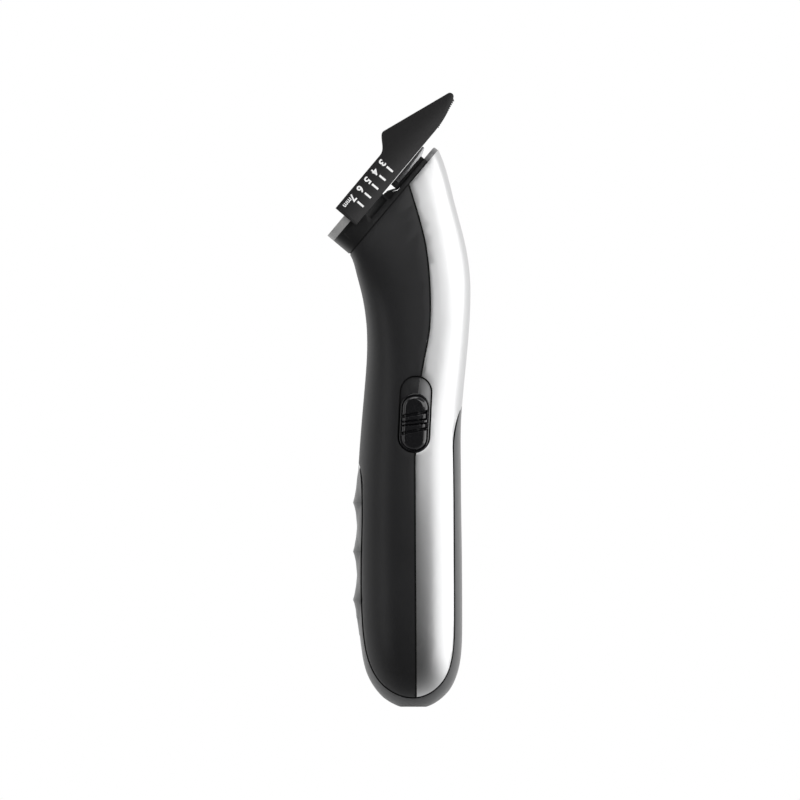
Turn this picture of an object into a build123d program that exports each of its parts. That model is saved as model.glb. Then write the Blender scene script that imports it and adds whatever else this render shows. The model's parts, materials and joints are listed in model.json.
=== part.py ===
from build123d import *
from math import cos, radians, sin
import os

# Cordless hair clipper with a bent neck and a sliding comb, standing on its foot. Millimetres.
# Origin: centre of the charging inlet's mouth, in the foot. +Z runs up the handle, +X is the
# silver front, -X the finger side, and the on/off slide is on the -Y side.

# ---------------------------------------------------------------- handle
# Stations up the handle: rear (x, z), front (x, z), half width, squareness of the oval.
STATIONS = [
    ((-3.6, 0.0), (3.5, 0.0), 4.4, 2.2),
    ((-4.9, 0.45), (4.75, 0.45), 6.2, 2.2),
    ((-6.4, 1.2), (6.15, 1.2), 8.2, 2.2),
    ((-8.2, 2.4), (7.8, 2.4), 10.4, 2.2),
    ((-10.1, 4.3), (9.7, 4.3), 12.7, 2.2),
    ((-12.3, 7.6), (11.6, 7.6), 15.1, 2.2),
    ((-13.8, 11.6), (12.8, 11.6), 16.8, 2.25),
    ((-14.6, 16.0), (13.4, 16.0), 17.8, 2.3),
    ((-15.3, 22.0), (13.6, 22.0), 18.3, 2.3),
    ((-15.7, 30.0), (13.6, 30.0), 18.5, 2.3),
    ((-15.9, 44.0), (13.5, 44.0), 18.5, 2.3),
    ((-15.8, 57.0), (13.3, 57.0), 18.3, 2.3),
    ((-15.3, 70.0), (13.2, 70.0), 17.8, 2.3),
    ((-14.5, 80.5), (13.3, 80.5), 17.4, 2.35),
    ((-13.6, 91.0), (14.7, 96.5), 17.1, 2.5),
    ((-13.05, 100.0), (15.75, 110.0), 17.1, 2.8),
    ((-13.35, 108.3), (15.7, 121.0), 17.4, 3.2),
    ((-14.5, 115.4), (14.0, 131.0), 18.0, 3.9),
    ((-16.0, 121.3), (10.95, 142.0), 19.0, 5.2),
]
POINTS_PER_SECTION = 32
CAP_HEIGHT = 22.0  # below this the handle closes as a round cap
CAP_HALF_DEPTH = 14.4
CAP_HALF_WIDTH = 18.3

WALL = 2.9
GRIP_DEPTH = 1.0  # thickness of the soft grip over the casing
GRIP_GAP = 0.38  # width of the shadow line round the grip
SEAM_GAP = 0.45  # width of the shadow line between the two shells
LINE_DEPTH = 0.4  # depth of both shadow lines
REACH = 30.0  # half the length of a cut that goes right across

# ---------------------------------------------------------------- head
HEAD_ANGLE = 50.0  # blade plane above the horizontal
HEAD_REAR = (-17.8, 0, 126.6)
HEAD_LENGTH = 37.74
HEAD_HALF_WIDTH = 20.0
HEAD_SQUARENESS = 7.0
BLOCK_LENGTH = 18.9
BLOCK_HEIGHT = 6.0
TONGUE_LENGTH = 33.9
TONGUE_HEIGHT = 1.4
COVER_TOP = 8.3
JOINT_HEIGHT = 0.4  # the head stands on a foot this high, set in to leave a shadow line
JOINT_INSET = 0.25

along = Vector(cos(radians(HEAD_ANGLE)), 0, sin(radians(HEAD_ANGLE)))
outward = Vector(-sin(radians(HEAD_ANGLE)), 0, cos(radians(HEAD_ANGLE)))
head_plane = Plane(origin=HEAD_REAR, x_dir=along, z_dir=outward)
head_side = Plane(origin=HEAD_REAR, x_dir=along, z_dir=(0, -1, 0))  # local x, y are u, n

BLADE_REAR = 24.1
BLADE_TIP = 36.3
BLADE_HALF_WIDTH = 17.5
BLADE_BOTTOM = 2.4
BLADE_TOP = 3.9
TOOTH_PITCH = 1.6
TOOTH_GAP = 0.8
TOOTH_COUNT = 21
CUTTER_REAR = 25.5
CUTTER_TIP = 33.5
CUTTER_HALF_WIDTH = 14.5
CUTTER_TOP = 2.35
CUTTER_THICKNESS = 0.6
CUTTER_TRAVEL = 1.0  # each way

# ---------------------------------------------------------------- comb
COMB_REAR = 7.3
COMB_TOP = 11.5
COMB_BOTTOM = 4.0
COMB_INSIDE = 20.25
COMB_WALL = 1.5
RIB_THICKNESS = 1.0
RIB_PITCH = 3.0
RIB_COUNT = 13
SERRATIONS = 14
SERRATION_DEPTH = 0.5

# ---------------------------------------------------------------- slide switch
SWITCH_TILT = 2.7
RECESS_CENTRE = (0.35, 81.9)
RECESS_LENGTH = 21.7
RECESS_WIDTH = 9.2
RECESS_FLOOR = -15.5
RECESS_CHANNEL = 0.42  # width and depth of the channel round the recess's floor
BUTTON_LENGTH = 16.6
BUTTON_WIDTH = 8.3
BUTTON_TOP = -18.6
SWITCH_TRAVEL = 4.5
REST_DROP = 2.4  # the button rests this far below the recess's centre, which is off

# ---------------------------------------------------------------- inside
MOTOR_X = 1.0
MOTOR_RADIUS = 10.05
MOTOR_HALF_FLAT = 7.6
MOTOR_BOTTOM = 110.0
MOTOR_TOP = 136.8
SHAFT_RADIUS = 1.0
ECCENTRICITY = CUTTER_TRAVEL
PIN_RADIUS = 1.0
CELL_X = 0.3  # well forward, so that the clipper's weight is over its foot
BATTERY_RADIUS = 7.05
BATTERY_BOTTOM = 15.8
BATTERY_LENGTH = 48.5
BATTERY_Y = 7.2
CELL_TIP_RADIUS = 2.6
CELL_TIP_HEIGHT = 1.0
STRAP_WIDTH = 4.0
STRAP_LENGTH = 19.4
STRAP_THICKNESS = 0.3
CELL_TAB = 5.0  # side of the square tab under each cell
BOARD_Y = -9.6
BOARD_THICKNESS = 1.2
BOARD_WIDTH = 15.0
BOARD_LENGTH = 30.0
BOARD_Z = 84.0
BOARD_CORNER = 1.2
CHIP = (0.0, 91.0, 5.0, 5.0)  # (x, z, width, length) on the board's inner face
CHARGE_CHIP = (-4.0, 75.0, 2.4, 3.2)
CAPACITOR = (4.0, 75.0, 1.9)  # (x, z, radius)
BOARD_PART_HEIGHT = 1.6
SLIDE_SWITCH = (0.0, 82.0, 7.0, 12.0)  # on the board's outer face
SLIDE_SWITCH_HEIGHT = 2.6
CASE_SCREWS = [(6.4, 10.5), (-6.4, 10.5)]  # (y, z), both hidden under the soft grip
SCREW_SHANK = 1.25
SCREW_HEAD = 2.4
SCREW_SEAT = -6.0
SCREW_TIP = 4.5
CROSS_LENGTH = 2.6  # the driver's cross in each screw head
CROSS_WIDTH = 0.6
CROSS_DEPTH = 0.9
INLET_RADIUS = 1.8
INLET_DEPTH = 12.0
INLET_BODY_RADIUS = 2.8
INLET_END = 1.2  # the socket body's closed end
INLET_HOLE = 20.0  # the hole for the socket's body reaches this far up into the casing
TERMINAL_PITCH = 3.0
TERMINAL_SIZE = (0.5, 1.8)
TERMINAL_LENGTH = 1.6
RUNNING_GAP = 0.03
LENS_Z = 66.0
LENS_RADIUS = 1.3

# ---------------------------------------------------------------- lines seen from the side, (x, z)
SEAM_STRAIGHT = [(0.45, -5.0), (0.05, 70.0)]
SEAM_CURVE = [(1.25, 88.3), (2.25, 95.3), (4.05, 105.0), (4.4, 113.0), (4.05, 121.1), (3.15, 128.9),
              (0.55, 139.2), (-1.39, 145.5), (-3.5, 152.3)]
GRIP_ARCH = [(-14.3, 60.0), (-14.5, 40.0), (-14.1, 23.0), (-12.6, 13.5), (-9.2, 7.0), (-4.5, 3.6),
             (0.5, 2.7), (5.2, 4.4), (8.9, 8.5), (10.8, 15.0), (11.25, 24.0), (11.2, 40.0),
             (11.1, 60.0), (10.9, 73.0)]
GRIP_REAR_TIP = [(-14.55, 64.8), (-15.4, 68.2)]  # each tip ends where the arch meets the profile
GRIP_FRONT_TIP = [(11.75, 79.3), (13.45, 84.2)]
GRIP_MIDDLE = -1.05
GRIP_HALF_DEPTH = 14.75
RIDGES = [57.2, 43.5, 30.0]  # heights of the peaks
# The shape of each ridge: (rise over its peak, stand-out).
RIDGE_SHAPE = [(7.0, 0.06), (4.0, 0.34), (1.2, 0.86), (0.0, 1.2), (-1.0, 0.82), (-2.8, 0.42), (-5.2, 0.2)]
RIDGE_START = (68.0, -0.6)
RIDGE_END = [(25.0, 0.12), (20.0, -0.6)]
RIDGE_HALF_WIDTH = 15.8
RIDGE_FRONT = -10.5  # the ridges stay behind this

BOSS_RADIUS = 3.2
BOSS_MEET = -1.0  # where the rear screw posts meet the front ones
SCREW_HEAD_HEIGHT = 1.8
LENS_BACK = 9.5
STEM_LENGTH = 3.6
STEM_WIDTH = 2.4
STEM_CLEARANCE = 0.25
STEM_DROP = 2.6
STEM_SLOT_DEPTH = 4.0  # the stem's slot goes right through the casing's wall
BUTTON_LIFT = 0.15  # the button's clearance over the recess floor
BUTTON_EDGE = 0.9
SLIDER_LENGTH = 9.0
SLIDER_WIDTH = 5.6
SLIDER_CORNER = 0.8
SLIDER_THICKNESS = 0.6
GRIP_BARS = 4
GRIP_BAR_PITCH = 1.75
GRIP_BAR_SLANT = 12.0
GRIP_BAR_WIDTH = 0.75
GRIP_BAR_DEPTH = 0.55
GRIP_BAR_DROP = 1.2  # the bars are this far below the button's middle
CRADLE_HEIGHTS = [24.0, 54.0, 70.0]  # two webs hold the cells and one the board
WEB_THICKNESS = 2.0
WEB_OPENING = (8.0, 6.0)  # between the cells
BUSH_RADIUS = 3.0
BUSH_TOP = 138.3
CAN_WALL = 0.8
END_CAP_OUT = 1.6  # the end cap below the can's mouth, and up inside it
END_CAP_IN = 1.4
MAGNET_RADIUS = 6.6
MAGNET_START = 3.0  # the magnets' ends, in from the can's mouth and its closed end
MAGNET_END = 4.0
MAGNET_HALF_GAP = 4.5
ARMATURE_RADIUS = 6.2
ARMATURE_START = 5.0
ARMATURE_END = 6.0
ARMATURE_SLOT = (3.0, 1.2)
MOUNT_Z = 118.0
MOUNT_THICKNESS = 2.5
SHAFT_FOOT = 1.4  # the shaft's lower end, under the can
CAM_RADIUS = 2.6
CAM_LIFT = 0.4
CAM_DISC = 0.8
CAM_TOP = 140.0
PIN_TOP = 147.0
BLOCK_WALL = 2.0
WINDOW = (20.0, 32.0)  # opening in the tongue for the fork and the carrier
WINDOW_HALF_WIDTH = 11.5
GUIDE_DEPTH = 1.1
GUIDE_LOW = 5.0
POCKET = (11.5, 18.3, 1.85, 3.75)
POCKET_FLOOR = 18.6
CUT_REACH = 5.0  # half the width of a cut in from the head's side
BLADE_BED = (25.1, 40.0)  # the frame's hollow for the moving blade
RAMP = [(18.9, 1.4), (18.9, 3.7), (19.5, 3.7), (22.3, 1.4)]  # (u, n), in front of the block
RAMP_HALF_WIDTH = 18.4
LIP_HALF_WIDTH = 18.6
LIP_PROUD = 0.5  # the lip overhangs the casing by this
FRAME_HALF_WIDTH = 17.9
FRAME_RAIL = 1.0
FIXED_ROOT = 33.2
CUTTER_ROOT = 30.9
CARRIER_BOTTOM = 0.7
CARRIER_HALF_WIDTH = 9.5
CARRIER = (26.0, 30.5)
PRONG = (23.0, 29.5)
FORK_HALF_GAP = 3.2  # clears the crank pin at any turn of the motor and any place of the cutter
PRONG_THICKNESS = 1.5
FORK_BOTTOM = -4.2
SPRING_RADIUS = 0.3
SPRING_PATH = [(18.9, 3.3), (20.3, 3.3), (22.6, 1.75), (32.6, 1.75)]  # (u, n), from the head's block
SPRING_BEND = 0.8
SPRING_Y = 16.2
ROOF_BOTTOM = 10.0
ROOF_WINDOW = (10.5, 26.4)
ROOF_WINDOW_WIDTH = 35.0
SERRATED = [(51.6, 5.2), (43.2, 3.7)]
RAIL = (9.0, 17.0)
RAIL_PROUD = 0.9
RAIL_CLEARANCE = 0.15
HEM_LENGTH = 0.6  # the raised hem round the comb's open end
HEM_PROUD = 0.3

os.makedirs("parts", exist_ok=True)


def save(piece, label):
    piece.part.label = label
    export_step(piece.part, f"parts/{label}.step")


def oval(half_depth, half_width, squareness):
    """Points round a superellipse, which is rounder or squarer with its exponent."""
    points = []
    for step in range(POINTS_PER_SECTION):
        turn = radians(360 * step / POINTS_PER_SECTION)
        c = round(cos(turn), 9)
        s = round(sin(turn), 9)
        x = half_depth * abs(c) ** (2 / squareness) * (1 if c > 0 else -1)
        y = half_width * abs(s) ** (2 / squareness) * (1 if s > 0 else -1)
        points.append((x, y))
    return points


def slab(plane, near, far, low, high, reach=REACH):
    """A box on a side plane: near..far along it, low..high above it, reach each way across."""
    with BuildPart() as box:
        with BuildSketch(plane):
            with Locations(((near + far) / 2, (low + high) / 2)):
                Rectangle(far - near, high - low)
        extrude(amount=reach, both=True)
    return box.part


def head_outline(inset=0.0):
    """Points of the oval where neck and head meet, in the blade plane."""
    points = oval(HEAD_LENGTH / 2 - inset, HEAD_HALF_WIDTH - inset, HEAD_SQUARENESS)
    return [(x + HEAD_LENGTH / 2, y) for x, y in points]


def head_prism(inset, length, low, high):
    """The head's oval raised from low to high over the blade plane and cut off at length."""
    with BuildPart() as prism:
        with BuildSketch(head_plane.offset(low)):
            with BuildLine():
                Spline(*head_outline(inset), periodic=True)
            make_face()
        extrude(amount=high - low)
        add(slab(head_side, inset, length, low - 1, high + 1), mode=Mode.INTERSECT)
    return prism.part


def handle(inset):
    """The handle's solid, from foot to blade plane, shrunk by inset all round."""
    cap_z = 1 - inset / CAP_HEIGHT
    cap_x = 1 - inset / CAP_HALF_DEPTH
    cap_y = 1 - inset / CAP_HALF_WIDTH
    with BuildPart() as solid:
        for rear, front, half_width, squareness in STATIONS:
            chord = Vector(front[0] - rear[0], 0, front[1] - rear[1])
            middle = Vector((rear[0] + front[0]) / 2, 0, (rear[1] + front[1]) / 2)
            if rear[1] < CAP_HEIGHT:
                middle.Z = CAP_HEIGHT - (CAP_HEIGHT - middle.Z) * cap_z
                half_depth = chord.length / 2 * cap_x
                half_width = half_width * cap_y
            else:
                half_depth = chord.length / 2 - inset
                half_width = half_width - inset
            flat = Plane(origin=middle, x_dir=chord, z_dir=chord.cross(Vector(0, 1, 0)))
            with BuildSketch(flat):
                with BuildLine():
                    Spline(*oval(half_depth, half_width, squareness), periodic=True)
                make_face()
        with BuildSketch(head_plane):
            with BuildLine():
                Spline(*head_outline(inset), periodic=True)
            make_face()
        loft()
    return solid.part


def rear_side(shift):
    """Everything behind the parting line, moved forward by shift."""
    with BuildPart() as side:
        with BuildSketch(Plane.XZ):
            with BuildLine():
                low = Line(*[(x + shift, z) for x, z in SEAM_STRAIGHT])
                curve = Spline(low @ 1, *[(x + shift, z) for x, z in SEAM_CURVE])
                Polyline(curve @ 1, (-2 * REACH, SEAM_CURVE[-1][1]), (-2 * REACH, SEAM_STRAIGHT[0][1]), low @ 0)
            make_face()
        extrude(amount=REACH, both=True)
    return side.part


def pushed_out(point, gap):
    """A point of the grip's arch moved gap away from the middle of the handle."""
    away = Vector(point[0] - GRIP_MIDDLE, 0, min(point[1] - CAP_HEIGHT, 0)).normalized() * gap
    return (point[0] + away.X, point[1] + away.Z)


def grip_zone(gap):
    """Everything outside the arch that the soft grip follows, gap further out."""
    with BuildPart() as zone:
        with BuildSketch(Plane.XZ):
            with Locations((0, 40)):
                Rectangle(2 * REACH, 110)
        extrude(amount=REACH, both=True)
        with BuildSketch(Plane.XZ):
            with BuildLine():
                arch = Spline(*[pushed_out(point, gap) for point in GRIP_ARCH])
                rear_tip = ThreePointArc(arch @ 0, pushed_out(GRIP_REAR_TIP[0], gap), GRIP_REAR_TIP[1])
                front_tip = ThreePointArc(arch @ 1, pushed_out(GRIP_FRONT_TIP[0], gap), GRIP_FRONT_TIP[1])
                Polyline(
                    rear_tip @ 1, (-2 * REACH, 72), (-2 * REACH, 120), (2 * REACH, 120),
                    (2 * REACH, 92), front_tip @ 1,
                )
            make_face()
        extrude(amount=REACH + 1, both=True, mode=Mode.SUBTRACT)
    return zone.part


# ---------------------------------------------------------------- casing
outer = handle(0)
under_grip = handle(GRIP_DEPTH)
line_floor = handle(LINE_DEPTH)
cavity = handle(WALL)
rear_half = rear_side(0)
switch_plane = Plane(
    origin=(RECESS_CENTRE[0], RECESS_FLOOR, RECESS_CENTRE[1]),
    x_dir=(sin(radians(SWITCH_TILT)), 0, cos(radians(SWITCH_TILT))),
    z_dir=(0, -1, 0),
)

with BuildPart() as grip_recess:
    add(grip_zone(GRIP_GAP))
    add(under_grip, mode=Mode.SUBTRACT)

with BuildPart() as grip_line:
    add(grip_zone(0))
    add(line_floor, mode=Mode.SUBTRACT)

with BuildPart() as switch_recess:
    with BuildSketch(switch_plane):
        SlotOverall(RECESS_LENGTH, RECESS_WIDTH)
    extrude(amount=REACH)
    with BuildSketch(switch_plane):
        SlotOverall(RECESS_LENGTH, RECESS_WIDTH)
        SlotOverall(RECESS_LENGTH - 2 * RECESS_CHANNEL, RECESS_WIDTH - 2 * RECESS_CHANNEL, mode=Mode.SUBTRACT)
    extrude(amount=-RECESS_CHANNEL)
    with BuildSketch(switch_plane):
        with Locations((-REST_DROP + SWITCH_TRAVEL / 2, 0)):
            SlotOverall(STEM_LENGTH + SWITCH_TRAVEL + 2 * STEM_CLEARANCE, STEM_WIDTH + 2 * STEM_CLEARANCE)
    extrude(amount=-STEM_SLOT_DEPTH)

with BuildPart() as casing:
    add(outer)
    add(cavity, mode=Mode.SUBTRACT)
    add(grip_recess.part, mode=Mode.SUBTRACT)
    add(grip_line.part, mode=Mode.SUBTRACT)
    add(switch_recess.part, mode=Mode.SUBTRACT)
    with BuildSketch(Plane.XY.offset(-1)):
        Circle(INLET_BODY_RADIUS)
    extrude(amount=INLET_HOLE, mode=Mode.SUBTRACT)


def screw_boss(near, far):
    """The screw posts along X, kept within the casing, with their bores cut."""
    with BuildPart() as posts:
        for y, z in CASE_SCREWS:
            with BuildSketch(Plane.YZ.offset(near)):
                with Locations((y, z)):
                    Circle(BOSS_RADIUS)
            extrude(amount=far - near)
        add(under_grip, mode=Mode.INTERSECT)
    return posts.part


def screw_holes(near, far, radius):
    with BuildPart() as holes:
        for y, z in CASE_SCREWS:
            with BuildSketch(Plane.YZ.offset(near)):
                with Locations((y, z)):
                    Circle(radius)
            extrude(amount=far - near)
    return holes.part


with BuildPart() as rear_housing:
    add(casing.part)
    add(rear_half, mode=Mode.INTERSECT)
    add(screw_boss(-REACH, BOSS_MEET))
    add(screw_holes(-REACH, REACH, SCREW_SHANK + 0.15), mode=Mode.SUBTRACT)
    add(screw_holes(-REACH, SCREW_SEAT, SCREW_HEAD + 0.1), mode=Mode.SUBTRACT)
save(rear_housing, "rear_housing")

with BuildPart() as seam:
    add(rear_side(SEAM_GAP))
    add(line_floor, mode=Mode.SUBTRACT)

with BuildPart() as front_housing:
    add(casing.part)
    add(rear_half, mode=Mode.SUBTRACT)
    add(seam.part, mode=Mode.SUBTRACT)
    add(screw_boss(BOSS_MEET + 0.1, REACH))
    add(screw_holes(BOSS_MEET, SCREW_TIP, SCREW_SHANK), mode=Mode.SUBTRACT)
    with BuildSketch(Plane.YZ.offset(LENS_BACK)):
        with Locations((0, LENS_Z)):
            Circle(LENS_RADIUS)
    extrude(amount=REACH, mode=Mode.SUBTRACT)
save(front_housing, "front_housing")

# The finger rest: a long slope above each peak and a short scoop below, fading out to both sides.
ridge_sections = [RIDGE_START]
for peak in RIDGES:
    ridge_sections += [(peak + rise, stand_out) for rise, stand_out in RIDGE_SHAPE]
ridge_sections += RIDGE_END
with BuildPart() as finger_rest:
    for z, stand_out in ridge_sections:
        with BuildSketch(Plane.XY.offset(z)):
            with Locations((GRIP_MIDDLE, 0)):
                Ellipse(GRIP_HALF_DEPTH + stand_out, RIDGE_HALF_WIDTH + stand_out)
    loft(ruled=True)
    add(slab(Plane.XZ, -REACH, RIDGE_FRONT, 0, RIDGE_START[0]), mode=Mode.INTERSECT)
    add(outer, mode=Mode.SUBTRACT)
    add(grip_zone(GRIP_GAP), mode=Mode.INTERSECT)

with BuildPart() as soft_grip:
    add(outer)
    add(under_grip, mode=Mode.SUBTRACT)
    add(grip_zone(GRIP_GAP), mode=Mode.INTERSECT)
    add(finger_rest.part)
    with BuildSketch(Plane.XY.offset(-1)):
        Circle(INLET_BODY_RADIUS)
    extrude(amount=INLET_HOLE, mode=Mode.SUBTRACT)
    with BuildSketch(Plane.YZ):
        with Locations((0, LENS_Z)):
            Circle(LENS_RADIUS)
    extrude(amount=REACH, mode=Mode.SUBTRACT)
save(soft_grip, "soft_grip")

with BuildPart() as case_screws:
    for y, z in CASE_SCREWS:
        with BuildSketch(Plane.YZ.offset(SCREW_SEAT - SCREW_HEAD_HEIGHT)):
            with Locations((y, z)):
                Circle(SCREW_HEAD)
        extrude(amount=SCREW_HEAD_HEIGHT)
        with BuildSketch(Plane.YZ.offset(SCREW_SEAT)):
            with Locations((y, z)):
                Circle(SCREW_SHANK)
        extrude(amount=SCREW_TIP - SCREW_SEAT)
        with BuildSketch(Plane.YZ.offset(SCREW_SEAT - SCREW_HEAD_HEIGHT)):
            with Locations((y, z)):
                Rectangle(CROSS_LENGTH, CROSS_WIDTH)
                Rectangle(CROSS_WIDTH, CROSS_LENGTH)
        extrude(amount=CROSS_DEPTH, mode=Mode.SUBTRACT)
save(case_screws, "case_screws")

# ---------------------------------------------------------------- foot: the charging inlet
with BuildPart() as charging_socket:
    with BuildSketch():
        Circle(INLET_BODY_RADIUS)
    extrude(amount=INLET_DEPTH + INLET_END)
    with BuildSketch():
        Circle(INLET_RADIUS)
    extrude(amount=INLET_DEPTH, mode=Mode.SUBTRACT)
save(charging_socket, "charging_socket")

with BuildPart() as socket_terminals:
    with BuildSketch(Plane.XY.offset(INLET_DEPTH + INLET_END)):
        with GridLocations(TERMINAL_PITCH, 0, 2, 1):
            Rectangle(*TERMINAL_SIZE)
    extrude(amount=TERMINAL_LENGTH)
save(socket_terminals, "socket_terminals")

with BuildPart() as charge_light:
    with BuildSketch(Plane.YZ.offset(LENS_BACK)):
        with Locations((0, LENS_Z)):
            Circle(LENS_RADIUS)
    extrude(amount=REACH)
    add(outer, mode=Mode.INTERSECT)
save(charge_light, "charge_light")

# ---------------------------------------------------------------- power
cell_places = [(CELL_X, -BATTERY_Y), (CELL_X, BATTERY_Y)]
with BuildPart() as battery_cells:
    with BuildSketch(Plane.XY.offset(BATTERY_BOTTOM)):
        with Locations(*cell_places):
            Circle(BATTERY_RADIUS)
    extrude(amount=BATTERY_LENGTH)
    with BuildSketch(Plane.XY.offset(BATTERY_BOTTOM + BATTERY_LENGTH)):
        with Locations(*cell_places):
            Circle(CELL_TIP_RADIUS)
    extrude(amount=CELL_TIP_HEIGHT)
save(battery_cells, "battery_cells")

with BuildPart() as battery_straps:
    with BuildSketch(Plane.XY.offset(BATTERY_BOTTOM + BATTERY_LENGTH + CELL_TIP_HEIGHT)):
        with Locations((CELL_X, 0)):
            SlotOverall(STRAP_LENGTH, STRAP_WIDTH, rotation=90)
    extrude(amount=STRAP_THICKNESS)
    with BuildSketch(Plane.XY.offset(BATTERY_BOTTOM - STRAP_THICKNESS)):
        with Locations(*cell_places):
            Rectangle(CELL_TAB, CELL_TAB)
    extrude(amount=STRAP_THICKNESS)
save(battery_straps, "battery_straps")

with BuildPart() as battery_cradle:
    for z in CRADLE_HEIGHTS:
        add(slab(Plane.XZ, -REACH, REACH, z, z + WEB_THICKNESS))
    add(cavity, mode=Mode.INTERSECT)
    with BuildSketch():
        with Locations(*cell_places):
            Circle(BATTERY_RADIUS)
        with Locations((CELL_X, 0)):
            Rectangle(*WEB_OPENING)
    extrude(amount=BOARD_Z, mode=Mode.SUBTRACT)
    with BuildSketch(Plane.XY.offset(BOARD_Z - BOARD_LENGTH / 2)):
        with Locations((0, BOARD_Y + BOARD_THICKNESS / 2)):
            Rectangle(BOARD_WIDTH, BOARD_THICKNESS)
    extrude(amount=BOARD_LENGTH, mode=Mode.SUBTRACT)
save(battery_cradle, "battery_cradle")

board_plane = Plane(origin=(0, BOARD_Y + BOARD_THICKNESS, 0), x_dir=(1, 0, 0), z_dir=(0, -1, 0))
with BuildPart() as circuit_board:
    with BuildSketch(board_plane):
        with Locations((0, BOARD_Z)):
            RectangleRounded(BOARD_WIDTH, BOARD_LENGTH, BOARD_CORNER)
    extrude(amount=BOARD_THICKNESS)
save(circuit_board, "circuit_board")

with BuildPart() as board_parts:
    with BuildSketch(board_plane):
        for x, z, width, length in (CHIP, CHARGE_CHIP):
            with Locations((x, z)):
                Rectangle(width, length)
        with Locations(CAPACITOR[:2]):
            Circle(CAPACITOR[2])
    extrude(amount=-BOARD_PART_HEIGHT)
save(board_parts, "board_parts")

with BuildPart() as slide_switch:
    with BuildSketch(board_plane.offset(BOARD_THICKNESS)):
        with Locations(SLIDE_SWITCH[:2]):
            Rectangle(*SLIDE_SWITCH[2:])
    extrude(amount=SLIDE_SWITCH_HEIGHT)
save(slide_switch, "slide_switch")

# ---------------------------------------------------------------- the on/off slide
with BuildPart() as switch_button:
    with BuildSketch(switch_plane.offset(BUTTON_LIFT)):
        with Locations((-REST_DROP, 0)):
            SlotOverall(BUTTON_LENGTH, BUTTON_WIDTH)
    extrude(amount=-BUTTON_TOP + RECESS_FLOOR - BUTTON_LIFT)
    fillet(switch_button.faces().sort_by(Axis.Y)[0].edges(), radius=BUTTON_EDGE)
    for count in range(GRIP_BARS):
        place = (count - (GRIP_BARS - 1) / 2) * GRIP_BAR_PITCH - GRIP_BAR_DROP
        with BuildSketch(switch_plane.offset(-BUTTON_TOP + RECESS_FLOOR - GRIP_BAR_DEPTH)):
            with Locations((-REST_DROP + place, 0)):
                Rectangle(GRIP_BAR_WIDTH, 2 * BUTTON_WIDTH, rotation=GRIP_BAR_SLANT)
        extrude(amount=2 * GRIP_BAR_DEPTH, mode=Mode.SUBTRACT)
    with BuildSketch(switch_plane.offset(BUTTON_LIFT)):
        with Locations((-REST_DROP, 0)):
            SlotOverall(STEM_LENGTH, STEM_WIDTH)
    extrude(amount=-STEM_DROP)
save(switch_button, "switch_button")

with BuildPart() as switch_slider:
    with BuildSketch(switch_plane.offset(BUTTON_LIFT - STEM_DROP)):
        with Locations((-REST_DROP, 0)):
            RectangleRounded(SLIDER_LENGTH, SLIDER_WIDTH, SLIDER_CORNER)
    extrude(amount=-SLIDER_THICKNESS)
save(switch_slider, "switch_slider")

# ---------------------------------------------------------------- motor
motor_axis = (MOTOR_X, 0)


def motor_outline(shrink, low, high):
    """The can's round section with two flats, between two heights."""
    with BuildPart() as can:
        with BuildSketch(Plane.XY.offset(low)):
            with Locations(motor_axis):
                Circle(MOTOR_RADIUS - shrink)
                Rectangle(2 * (MOTOR_HALF_FLAT - shrink), 4 * MOTOR_RADIUS, mode=Mode.INTERSECT)
        extrude(amount=high - low)
    return can.part


def turned(radius, low, high):
    """A plain round piece on the motor's axis."""
    with BuildPart() as piece:
        with BuildSketch(Plane.XY.offset(low)):
            with Locations(motor_axis):
                Circle(radius)
        extrude(amount=high - low)
    return piece.part


with BuildPart() as motor_can:
    add(motor_outline(0, MOTOR_BOTTOM, MOTOR_TOP))
    add(turned(BUSH_RADIUS, MOTOR_TOP, BUSH_TOP))
    add(motor_outline(CAN_WALL, MOTOR_BOTTOM - 1, MOTOR_TOP - CAN_WALL), mode=Mode.SUBTRACT)
    add(turned(SHAFT_RADIUS + RUNNING_GAP, MOTOR_BOTTOM, BUSH_TOP + 1), mode=Mode.SUBTRACT)
save(motor_can, "motor_can")

with BuildPart() as motor_magnets:
    add(motor_outline(CAN_WALL, MOTOR_BOTTOM + MAGNET_START, MOTOR_TOP - MAGNET_END))
    add(turned(MAGNET_RADIUS, MOTOR_BOTTOM, MOTOR_TOP), mode=Mode.SUBTRACT)
    add(slab(Plane.YZ, -MAGNET_HALF_GAP, MAGNET_HALF_GAP, MOTOR_BOTTOM, MOTOR_TOP), mode=Mode.SUBTRACT)
save(motor_magnets, "motor_magnets")

with BuildPart() as motor_end_cap:
    add(motor_outline(CAN_WALL, MOTOR_BOTTOM - END_CAP_OUT, MOTOR_BOTTOM + END_CAP_IN))
    add(motor_outline(0, MOTOR_BOTTOM - END_CAP_OUT, MOTOR_BOTTOM))
    add(turned(SHAFT_RADIUS + RUNNING_GAP, MOTOR_BOTTOM - 2, MOTOR_TOP), mode=Mode.SUBTRACT)
save(motor_end_cap, "motor_end_cap")

with BuildPart() as motor_mount:
    add(slab(Plane.XZ, -REACH, REACH, MOUNT_Z, MOUNT_Z + MOUNT_THICKNESS))
    add(cavity, mode=Mode.INTERSECT)
    add(motor_outline(0, MOTOR_BOTTOM - 2, MOTOR_TOP), mode=Mode.SUBTRACT)
save(motor_mount, "motor_mount")

with BuildPart() as motor_shaft:
    add(turned(SHAFT_RADIUS, MOTOR_BOTTOM - SHAFT_FOOT, CAM_TOP))
save(motor_shaft, "motor_shaft")

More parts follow.
